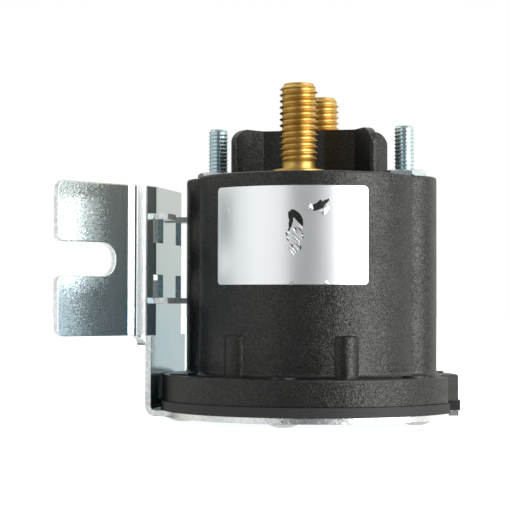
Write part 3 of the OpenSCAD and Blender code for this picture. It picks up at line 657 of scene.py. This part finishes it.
def ridge(start, end, width, height, ground=LABEL_T):
    """Vertices and faces of a pushed-up ridge: a leaf whose middle line stands off the ground."""
    outline = sliver(start, end, width)
    spine = [(start[0] + (end[0] - start[0]) * t, start[1] + (end[1] - start[1]) * t)
             for t, _ in LEAF]
    foot, top = ground - LABEL_SINK, ground + height
    vertices = [(x, z, foot) for x, z in outline] + [(x, z, top) for x, z in spine]
    left, right, crest = [0, 1, 2, 3, 4], [0, 7, 6, 5, 4], [0, 8, 9, 10, 4]
    faces = []
    for side in (left, right):
        for k in range(4):
            face = [side[k], side[k + 1], crest[k + 1], crest[k]]
            faces.append([v for n, v in enumerate(face) if v not in face[:n]])
    return vertices, faces


def flake(outline):
    """A peeled flake of foil: a thin plate whose corners stand off by different amounts."""
    size = len(outline)
    vertices = [(x, z, LABEL_T + lift) for x, z, lift in outline]
    vertices += [(x, z, LABEL_T + lift - FLAKE_T) for x, z, lift in outline]
    middle = [sum(v[n] for v in vertices[:size]) / size for n in range(3)]
    crown = [m + shift for m, shift in zip(middle, FLAKE_CROWN)]
    vertices += [tuple(crown), (crown[0], crown[1], crown[2] - FLAKE_T)]
    faces = []
    for k in range(size):
        n = (k + 1) % size
        faces.append([k, n, 2 * size])
        faces.append([size + n, size + k, 2 * size + 1])
        faces.append([n, k, size + k, size + n])
    return vertices, faces


def bent(part):
    """A part given as way round, height and lift, put round the body."""
    vertices, faces = part
    return [round_body(*vertex) for vertex in vertices], faces


def label_scrapes():
    """Ridges, flakes and scratches on the label, as one piece of the same foil."""
    parts = [ridge(*line) for line in RIDGES + SCRATCHES] + [flake(outline) for outline in FLAKES]
    piece = mesh_object("label_scrapes", *joined(*[bent(part) for part in parts]), smooth=False)
    return place(piece, "base", "label_foil", FOIL_SCRAPED)


def moulding_tick():
    """Short upright witness mark of the mould on the rim above the label."""
    piece = mesh_object("moulding_tick", *bent(ridge(*TICK, ground=0)), smooth=False)
    return place(piece, "base", "housing_plastic", HOUSING_PLASTIC)


def wrap(mesh, half_w):
    """Slices a flat sheet upright, gives it its thickness and puts it round the body."""
    form = bmesh.new()
    form.from_mesh(mesh)
    bmesh.ops.remove_doubles(form, verts=form.verts, dist=FLAT_WELD)
    cuts = int(half_w / (LABEL_SLICE * LABEL_R))
    for i in range(-cuts, cuts + 1):
        bmesh.ops.bisect_plane(
            form, geom=form.verts[:] + form.edges[:] + form.faces[:], dist=FLAT_WELD,
            plane_co=(i * LABEL_SLICE * LABEL_R, 0, 0), plane_no=(1, 0, 0))
    top = bmesh.ops.extrude_face_region(form, geom=form.faces[:])
    for vertex in (g for g in top["geom"] if isinstance(g, bmesh.types.BMVert)):
        vertex.co.z += LABEL_T
    for vertex in form.verts:
        vertex.co = round_body(*vertex.co)
        vertex.co *= MM
    bmesh.ops.recalc_face_normals(form, faces=form.faces)
    form.to_mesh(mesh)
    form.free()


def label():
    """Foil label with its torn patches and slits."""
    low, high = box_mm("label")
    half_w = math.radians(LABEL_HALF_ANGLE) * LABEL_R
    outer = rounded_outline(half_w, low.z, high.z, LABEL_CORNER_R)
    mesh = flat_sheet([outer, TORN_UPPER, TORN_CRESCENT] + [sliver(*line) for line in SLITS])
    wrap(mesh, half_w)
    mesh.shade_smooth()
    mesh.set_sharp_from_angle(angle=SHARP_ANGLE)
    return place(in_scene("label_sheet", mesh), "base", "label_foil", FOIL, "label")


# Materials

def material(name, color, metallic, roughness):
    """A principled material whose even values sit on the shader itself."""
    made = bpy.data.materials.new(name)
    made.use_nodes = True
    shader = made.node_tree.nodes["Principled BSDF"]
    shader.inputs["Base Color"].default_value = (*color, 1)
    shader.inputs["Metallic"].default_value = metallic
    shader.inputs["Roughness"].default_value = roughness
    return made


def add(made, kind, **values):
    """A new node in a material or the world, with its inputs set by name."""
    node = made.node_tree.nodes.new(kind)
    for key, value in values.items():
        node.inputs[key.replace("_", " ")].default_value = value
    return node


def link(made, source, target):
    """Joins an output to an input."""
    made.node_tree.links.new(source, target)


def shader_of(made):
    """The shader of a material."""
    return made.node_tree.nodes["Principled BSDF"]


def coordinates(made, stretch=(1, 1, 1)):
    """Object coordinates, stretched along each axis."""
    source = add(made, "ShaderNodeTexCoord")
    mapping = add(made, "ShaderNodeMapping")
    mapping.inputs["Scale"].default_value = stretch
    link(made, source.outputs["Object"], mapping.inputs["Vector"])
    return mapping.outputs["Vector"]


def noise(made, scale, detail=2.0, stretch=(1, 1, 1)):
    """Noise with that many features in a metre."""
    node = add(made, "ShaderNodeTexNoise", Scale=scale, Detail=detail)
    link(made, coordinates(made, stretch), node.inputs["Vector"])
    return node.outputs["Fac"]


def mapped(made, value, low, high, from_low=0.3, from_high=0.7, interpolation="LINEAR"):
    """A value stretched to another range."""
    node = add(made, "ShaderNodeMapRange")
    node.interpolation_type = interpolation
    node.inputs["From Min"].default_value = from_low
    node.inputs["From Max"].default_value = from_high
    node.inputs["To Min"].default_value = low
    node.inputs["To Max"].default_value = high
    link(made, value, node.inputs["Value"])
    return node.outputs["Result"]


def bump(made, height, depth, strength=1.0, normal=None):
    """A bump of that many metres, laid over another."""
    node = add(made, "ShaderNodeBump", Strength=strength, Distance=depth)
    link(made, height, node.inputs["Height"])
    if normal is not None:
        link(made, normal, node.inputs["Normal"])
    return node.outputs["Normal"]


def mixed(made, factor, first, second, blend="MIX"):
    """Two colours mixed by a factor, each of them a socket or plain numbers."""
    node = add(made, "ShaderNodeMix")
    node.data_type = "RGBA"
    node.blend_type = blend
    link(made, factor, node.inputs["Factor"])
    for socket, color in zip([s for s in node.inputs if s.type == "RGBA"], (first, second)):
        if isinstance(color, tuple):
            socket.default_value = (*color, 1)
        else:
            link(made, color, socket)
    return next(s for s in node.outputs if s.type == "RGBA")


def product(made, first, second):
    """Two values multiplied."""
    node = add(made, "ShaderNodeMath")
    node.operation = "MULTIPLY"
    link(made, first, node.inputs[0])
    link(made, second, node.inputs[1])
    return node.outputs["Value"]


def vector_math(made, operation, first, second):
    """Two vectors combined, each of them a socket or plain numbers."""
    node = add(made, "ShaderNodeVectorMath")
    node.operation = operation
    for socket, value in zip(node.inputs, (first, second)):
        if isinstance(value, tuple):
            socket.default_value = value
        else:
            link(made, value, socket)
    return node.outputs["Vector"]


def softened(made, radius, normal=None):
    """A normal that rounds the edges of the form by a radius in millimetres."""
    node = add(made, "ShaderNodeBevel")
    node.samples = 6
    node.inputs["Radius"].default_value = radius * MM
    if normal is not None:
        link(made, normal, node.inputs["Normal"])
    return node.outputs["Normal"]


def faceted(made, scale, tilt, normal, lean_y=0.0):
    """A normal that leans another way in each small grain, here and there by a lot."""
    grains = add(made, "ShaderNodeTexVoronoi", Scale=scale)
    link(made, coordinates(made), grains.inputs["Vector"])
    doubled = vector_math(made, "ADD", grains.outputs["Color"], grains.outputs["Color"])
    centred = vector_math(made, "SUBTRACT", doubled, (1, 1, 1))
    squared = vector_math(made, "MULTIPLY", centred, centred)
    cubed = vector_math(made, "MULTIPLY", squared, centred)
    lean = vector_math(made, "MULTIPLY", cubed, (tilt, tilt, tilt))
    total = vector_math(made, "ADD", vector_math(made, "ADD", normal, lean), (0, lean_y, 0))
    even = add(made, "ShaderNodeVectorMath")
    even.operation = "NORMALIZE"
    link(made, total, even.inputs[0])
    return even.outputs["Vector"]


def speckled(made, dark, light):
    """Colour of the moulding, with its grain and a few pale specks, and the grain itself."""
    grain = noise(made, GRAIN_SCALE, 4)
    shade = mixed(made, mapped(made, grain, 0, 1), dark, light)
    speck = mapped(made, noise(made, 2300, 1), 0, 1, *SPECK_EDGE)
    return mixed(made, speck, shade, SPECK_COLOR), grain


def glints(made):
    """Strength of the shine, another in each small cell of the surface."""
    cells = add(made, "ShaderNodeTexVoronoi", Scale=GLINT_SCALE)
    link(made, coordinates(made), cells.inputs["Vector"])
    split = add(made, "ShaderNodeSeparateColor")
    link(made, cells.outputs["Color"], split.inputs["Color"])
    return mapped(made, split.outputs["Red"], 0.3, 0.68, 0, 1)


def moulded_plastic(name, dark, light):
    """Black moulding with a fine spark-eroded grain, a few pale specks and coarser patches."""
    made = material(name, light, 0, 0.32)
    shader = shader_of(made)
    color, grain = speckled(made, dark, light)
    link(made, color, shader.inputs["Base Color"])
    link(made, mapped(made, noise(made, 260, 3), 0.28, 0.35), shader.inputs["Roughness"])
    link(made, glints(made), shader.inputs["Specular IOR Level"])
    shader.inputs["Specular Tint"].default_value = (1, 1, 0.93, 1)
    patchy = product(made, grain, mapped(made, noise(made, 120, 3), 0.5, 1.5))
    relief = bump(made, patchy, GRAIN_DEPTH, 0.9, softened(made, 0.3))
    link(made, faceted(made, PLASTIC_FACETS, PLASTIC_TILT, relief), shader.inputs["Normal"])
    return made


def rubber():
    """Matt black rubber."""
    made = material("gasket_rubber", (0.02, 0.02, 0.02), 0, 0.6)
    link(made, bump(made, noise(made, 2500, 2), 0.00002, 0.5), shader_of(made).inputs["Normal"])
    return made


def zinc(name, light, dark, roughness, spangle, tilt, edge=0.12, metallic=0.92, lean_y=0.0):
    """Zinc plate: a fine spangle in colour and relief over a bluish metal, with eased edges."""
    made = material(name, light, metallic, roughness)
    shader = shader_of(made)
    fine = noise(made, 1.2 * spangle, 1)
    link(made, mixed(made, mapped(made, fine, 0, 1), dark, light), shader.inputs["Base Color"])
    link(made, mapped(made, fine, roughness + 0.04, roughness - 0.04), shader.inputs["Roughness"])
    relief = bump(made, fine, 0.000004, 0.7, softened(made, edge))
    link(made, faceted(made, spangle, tilt, relief, lean_y), shader.inputs["Normal"])
    return made


def plated_sheet():
    """The bracket's zinc: blue tinged low on the web, grainy, and softly rounded at its creases."""
    made = zinc("bracket_zinc", light=(0.9, 0.975, 0.925), dark=(0.66, 0.745, 0.745),
                roughness=0.14, spangle=4900, tilt=0.05, edge=0.35, lean_y=-0.006)
    shader = shader_of(made)
    plain = shader.inputs["Base Color"].links[0].from_socket
    source = add(made, "ShaderNodeTexCoord")
    parts = add(made, "ShaderNodeSeparateXYZ")
    link(made, source.outputs["Object"], parts.inputs["Vector"])
    low = mapped(made, parts.outputs["Z"], 1, 0, *TINGE_FADE)
    wave = product(made, low, mapped(made, noise(made, 60, 2), 0.75, 1.0, 0.4, 0.6))
    link(made, mixed(made, wave, plain, TINGE_COLOR, "MULTIPLY"), shader.inputs["Base Color"])
    return made


def cut_metal():
    """Sheared edge of the plated sheet: pale, rough and streaked across its thickness."""
    made = material("bracket_cut_edge", (0.82, 0.84, 0.84), 0.55, 0.45)
    shader = shader_of(made)
    marks = noise(made, 1500, 4)
    link(made, mixed(made, mapped(made, marks, 0, 1), (0.62, 0.65, 0.66), (0.95, 0.96, 0.95)),
         shader.inputs["Base Color"])
    link(made, bump(made, marks, 0.00006, 0.8), shader.inputs["Normal"])
    return made


def painted_shade_for_windows():
    """Sheared side of a window in the web, coloured dark blue-grey as painted shade."""
    made = material("bracket_window_painted_shade", (0.13, 0.2, 0.21), 0.4, 0.5)
    shader = shader_of(made)
    marks = noise(made, 1500, 3)
    link(made, mixed(made, mapped(made, marks, 0, 1), (0.08, 0.125, 0.135), (0.17, 0.25, 0.26)),
         shader.inputs["Base Color"])
    return made


def brass():
    """Turned brass, a little tarnished."""
    made = material("stud_brass", (0.78, 0.52, 0.17), 1, 0.4)
    shader = shader_of(made)
    cloud = noise(made, 420, 4)
    link(made, mixed(made, mapped(made, cloud, 0, 1), (0.565, 0.338, 0.076), (0.735, 0.5, 0.162)),
         shader.inputs["Base Color"])
    link(made, mapped(made, cloud, 0.46, 0.38), shader.inputs["Roughness"])
    turning = noise(made, 900, 3, (1, 1, 8))
    link(made, bump(made, turning, 0.00001, 0.4), shader.inputs["Normal"])
    return made


def foil(name, roughness):
    """Satin aluminium foil with a faint upright brushing."""
    made = material(name, (0.93, 0.945, 0.945), 0.82, roughness)
    shader = shader_of(made)
    brushing = noise(made, 1800, 3, (1, 1, 0.05))
    link(made, mapped(made, brushing, roughness - 0.01, roughness + 0.015),
         shader.inputs["Roughness"])
    link(made, bump(made, brushing, 0.000001, 0.3), shader.inputs["Normal"])
    return made


def plain_metal(name, color, roughness, scale=1500, depth=0.00001):
    """Drawn or turned metal with faint marks."""
    made = material(name, color, 1, roughness)
    marks = noise(made, scale, 3)
    shader = shader_of(made)
    link(made, mapped(made, marks, roughness - 0.05, roughness + 0.05), shader.inputs["Roughness"])
    link(made, bump(made, marks, depth, 0.4), shader.inputs["Normal"])
    return made


def plain_plastic(name, dark, light, roughness):
    """Nylon or fibre with a slight mottle."""
    made = material(name, light, 0, roughness)
    shader = shader_of(made)
    mottle = noise(made, 700, 4)
    link(made, mixed(made, mottle, dark, light), shader.inputs["Base Color"])
    link(made, bump(made, mottle, 0.00001, 0.4), shader.inputs["Normal"])
    return made


BRASS = brass()
HOUSING_PLASTIC = moulded_plastic("housing_plastic",
                                  dark=(0.005, 0.0052, 0.0048), light=(0.011, 0.0112, 0.0105))
# Paler copy of the housing plastic: painted sheen for the notch face that looks forward
PAINTED_SHEEN_PLASTIC = moulded_plastic("housing_plastic_painted_sheen",
                                 dark=(0.06, 0.06, 0.056), light=(0.1, 0.1, 0.095))
RUBBER = rubber()
BRACKET_ZINC = plated_sheet()
CUT_ZINC = cut_metal()
# Dark blue-grey for the windows' sides: painted shade
WINDOW_PAINTED_SHADE = painted_shade_for_windows()
RIM_ZINC = zinc("base_rim_zinc", light=(0.97, 0.975, 0.95), dark=(0.78, 0.78, 0.75),
                roughness=0.26, spangle=2600, tilt=0.08, metallic=0.88)
CREASE_ZINC = zinc("crease_zinc", light=(0.97, 0.98, 0.97), dark=(0.7, 0.74, 0.75),
                   roughness=0.3, spangle=4300, tilt=0.08, metallic=0.5)
RIVET_ZINC = zinc("rivet_zinc", light=(0.84, 0.88, 0.88), dark=(0.66, 0.7, 0.72),
                  roughness=0.22, spangle=3000, tilt=0.05)
STUD_ZINC = zinc("stud_zinc", light=(0.64, 0.79, 0.82), dark=(0.5, 0.63, 0.67),
                 roughness=0.26, spangle=3000, tilt=0.04, edge=0.05)
NUT_ZINC = zinc("nut_zinc", light=(0.74, 0.82, 0.84), dark=(0.58, 0.67, 0.7),
                roughness=0.28, spangle=3000, tilt=0.05)
FOIL = foil("label_foil", 0.3)
FOIL_SCRAPED = foil("label_foil_scraped", 0.2)
CASE_STEEL = plain_metal("case_steel", (0.5, 0.52, 0.54), 0.35)
CORE_STEEL = plain_metal("core_steel", (0.42, 0.44, 0.46), 0.32)
SPRING_STEEL = plain_metal("spring_steel", (0.55, 0.57, 0.6), 0.22)
COPPER = plain_metal("copper", (0.8, 0.42, 0.24), 0.28)
WINDING_COPPER = plain_metal("winding_copper", (0.6, 0.22, 0.09), 0.24)
GUIDE_BRASS = plain_metal("guide_brass", (0.82, 0.68, 0.36), 0.25)
NYLON = plain_plastic("nylon", (0.7, 0.67, 0.58), (0.84, 0.81, 0.72), 0.4)
FIBRE = plain_plastic("fibre", (0.3, 0.16, 0.09), (0.46, 0.28, 0.17), 0.6)

NODE_MATERIALS = {
    "mounting_bracket": BRACKET_ZINC,
    "base_rivets": RIVET_ZINC,
    "base_gasket": RUBBER,
    "housing": HOUSING_PLASTIC,
    "coil_case": CASE_STEEL,
    "flux_washer": CASE_STEEL,
    "bobbin": NYLON,
    "coil_lead_left": COPPER,
    "coil_lead_right": COPPER,
    "plunger_guide": GUIDE_BRASS,
    "plunger_bumper": RUBBER,
    "fixed_core": CORE_STEEL,
    "chamber_divider": FIBRE,
    "plunger": CORE_STEEL,
    "push_rod": CORE_STEEL,
    "spring_seat": CASE_STEEL,
    "contact_bush": NYLON,
    "contact_disc": COPPER,
    "contact_washer": NYLON,
    "rod_clip": SPRING_STEEL,
}


def edge_kind(face):
    """Which of the sheet's materials a face of the folded sheet gets."""
    x, y, z = face.center / MM
    normal = face.normal
    if z < SHEET_TOP_Z + FOLD_R:
        return BASE_RIM if abs(normal.z) < 0.3 else PLATED
    beside_window = WINDOW_SPAN[0] - EDGE_REACH < abs(y) < WINDOW_SPAN[1] + EDGE_REACH
    if abs(x + WEB_X + SHEET_T / 2) < SHEET_T and beside_window:
        # Sides of the windows get the dark painted shade
        if abs(normal.y) > 0.9:
            return PAINTED_SHADE_SIDE
        return SHEARED if abs(normal.z) > 0.5 and z > WING_TOP_Z - 0.1 else PLATED
    if x > 0.02 - WEB_X:
        return SHEARED if abs(normal.z) < 0.5 else PLATED
    lean = EAR_LEAN if abs(y) > WEB_HALF_W else 0
    across = normal.x * math.cos(lean) + math.copysign(normal.y, y * normal.y) * math.sin(lean)
    return SHEARED if abs(across) < 0.5 else PLATED


def mark_cut_edges():
    """Gives the folded sheet its sheared edges, base rim and the windows' sides in painted shade,
    in their order.
    """
    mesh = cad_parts["mounting_bracket"].data
    for made in (CUT_ZINC, RIM_ZINC, WINDOW_PAINTED_SHADE):
        mesh.materials.append(made)
    for face in mesh.polygons:
        face.material_index = edge_kind(face)


def mark_painted_sheen_face():
    """Gives the side of the flange's notch that looks forward a paler plastic, a painted sheen."""
    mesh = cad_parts["housing"].data
    mesh.materials.append(PAINTED_SHEEN_PLASTIC)
    for face in mesh.polygons:
        x, _, z = face.center / MM
        face.material_index = int(x > NOTCH_X and z < NOTCH_Z and face.normal.y < -0.8)


def dress_nodes():
    """Gives every CAD node that stays its material."""
    for node, made in NODE_MATERIALS.items():
        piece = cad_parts[node]
        piece.data.materials.clear()
        piece.data.materials.append(made)


# Floor, light and camera

def floor():
    """Plain pale floor that runs on into the background."""
    half = FLOOR_HALF
    mesh = bpy.data.meshes.new("floor")
    corners = [(-half, -half), (half, -half), (half, half), (-half, half)]
    mesh.from_pydata([(x, y, 0) for x, y in corners], [], [[0, 1, 2, 3]])
    piece = in_scene("floor", mesh)
    made = material("floor_white", (0.85, 0.85, 0.85), 0, 0.9)
    shader = shader_of(made)
    shader.inputs["Emission Color"].default_value = (1, 1, 1, 1)
    source = add(made, "ShaderNodeTexCoord")
    reach = add(made, "ShaderNodeVectorMath")
    reach.operation = "LENGTH"
    link(made, source.outputs["Object"], reach.inputs[0])
    glow = mapped(made, reach.outputs["Value"], FLOOR_GLOW_NEAR, 1.0,
                  FLOOR_NEAR * MM, FLOOR_FAR * MM)
    link(made, glow, shader.inputs["Emission Strength"])
    mesh.materials.append(made)
    piece.visible_glossy = False


def softbox(name, azimuth, elevation, distance, width, height, radiance):
    """Rectangular light that faces the object. Azimuth 0 is behind the camera, 90 to its right."""
    light = bpy.data.lights.new(name, "AREA")
    light.shape = "RECTANGLE"
    light.size = width * MM
    light.size_y = height * MM
    light.energy = radiance * math.pi * light.size * light.size_y
    holder = in_scene(name, light)
    angle = math.radians(CAMERA_YAW + azimuth - 90)
    rise = math.radians(elevation)
    away = Vector((math.cos(angle) * math.cos(rise), math.sin(angle) * math.cos(rise),
                   math.sin(rise)))
    holder.location = (Vector(LIGHT_TARGET) + away * distance) * MM
    holder.rotation_mode = "QUATERNION"
    holder.rotation_quaternion = away.to_track_quat("Z", "Y")
    holder.visible_camera = False


def upright_light(name, right, left, radiance):
    """Tall softbox between two azimuths."""
    width = 2 * UPRIGHT_DISTANCE * math.tan(math.radians(right - left) / 2)
    softbox(name, (right + left) / 2, UPRIGHT_ELEVATION, UPRIGHT_DISTANCE, width, UPRIGHT_HEIGHT,
            radiance)


def studio_light():
    """Strong light on the camera's right, weak ones on its left that fade out, one overhead."""
    for light in UPRIGHT_LIGHTS:
        upright_light(*light)
    softbox("overhead", azimuth=180, elevation=60, distance=800, width=900, height=500,
            radiance=0.95)


def facing(world, direction, way):
    """Cosine between a direction of the world and a level way, given as an angle from X."""
    node = add(world, "ShaderNodeVectorMath")
    node.operation = "DOT_PRODUCT"
    link(world, direction, node.inputs[0])
    node.inputs[1].default_value = (math.cos(way), math.sin(way), 0)
    return node.outputs["Value"]


def room(world):
    """Grey room, dim behind the camera and bright behind the part, with one dark corner."""
    shader = world.node_tree.nodes["Background"]
    direction = add(world, "ShaderNodeTexCoord").outputs["Generated"]
    ahead = facing(world, direction, math.radians(CAMERA_YAW + 90))
    ramp = mapped(world, ahead, ROOM_DIM[1], ROOM_BRIGHT[1], ROOM_DIM[0], ROOM_BRIGHT[0],
                  "SMOOTHSTEP")
    corner = facing(world, direction, math.radians(CAMERA_YAW - 90 + CORNER_AZIMUTH))
    shade = mapped(world, corner, 1.0, CORNER_SHARE, math.cos(math.radians(CORNER_FADE)),
                   math.cos(math.radians(CORNER_HALF)), "SMOOTHSTEP")
    link(world, product(world, ramp, shade), shader.inputs["Strength"])
    link(world, mixed(world, ramp, ROOM_DIM_TINT, ROOM_BRIGHT_TINT), shader.inputs["Color"])
    return shader.outputs["Background"]


def surroundings():
    """White behind the object for the camera, and the room for everything else."""
    world = bpy.data.worlds.new("studio")
    bpy.context.scene.world = world
    world.use_nodes = True
    white = add(world, "ShaderNodeBackground", Color=(1, 1, 1, 1), Strength=1.0)
    path = add(world, "ShaderNodeLightPath")
    mix = add(world, "ShaderNodeMixShader")
    link(world, path.outputs["Is Camera Ray"], mix.inputs["Fac"])
    link(world, room(world), mix.inputs[1])
    link(world, white.outputs["Background"], mix.inputs[2])
    link(world, mix.outputs["Shader"], world.node_tree.nodes["World Output"].inputs["Surface"])


def camera():
    """Camera at the photo's place and angle."""
    yaw, pitch, roll = (math.radians(a) for a in (CAMERA_YAW, CAMERA_PITCH, CAMERA_ROLL))
    forward = Vector((-math.sin(yaw) * math.cos(pitch), math.cos(yaw) * math.cos(pitch),
                      math.sin(pitch)))
    level = Vector((math.cos(yaw), math.sin(yaw), 0))
    upright = level.cross(forward)
    right = level * math.cos(roll) + upright * math.sin(roll)
    up = upright * math.cos(roll) - level * math.sin(roll)
    turn = Matrix((right, up, -forward)).transposed()
    lens = bpy.data.cameras.new("camera")
    lens.sensor_width = SENSOR_WIDTH
    lens.lens = FOCAL_PIXELS * SENSOR_WIDTH / PHOTO_WIDTH
    lens.clip_start = 0.01
    lens.clip_end = 20
    holder = in_scene("camera", lens)
    holder.matrix_world = Matrix.Translation(Vector(CAMERA_PLACE) * MM) @ turn.to_4x4()
    bpy.context.scene.camera = holder


def build():
    """The whole scene."""
    camera()
    surroundings()
    studio_light()
    floor()
    dress_nodes()
    mark_cut_edges()
    mark_painted_sheen_face()
    crease_fillets()
    load_stud("load_stud_front_threaded", "load_stud_front", "base")
    load_stud("load_stud_rear_threaded", "load_stud_rear", "base")
    coil_stud("coil_stud_left_threaded", "coil_stud_left", "base")
    coil_stud("coil_stud_right_threaded", "coil_stud_right", "base")
    coil_nuts()
    label()
    label_scrapes()
    moulding_tick()
    springs()
    winding()
    bpy.context.scene.view_settings.view_transform = "Standard"


build()
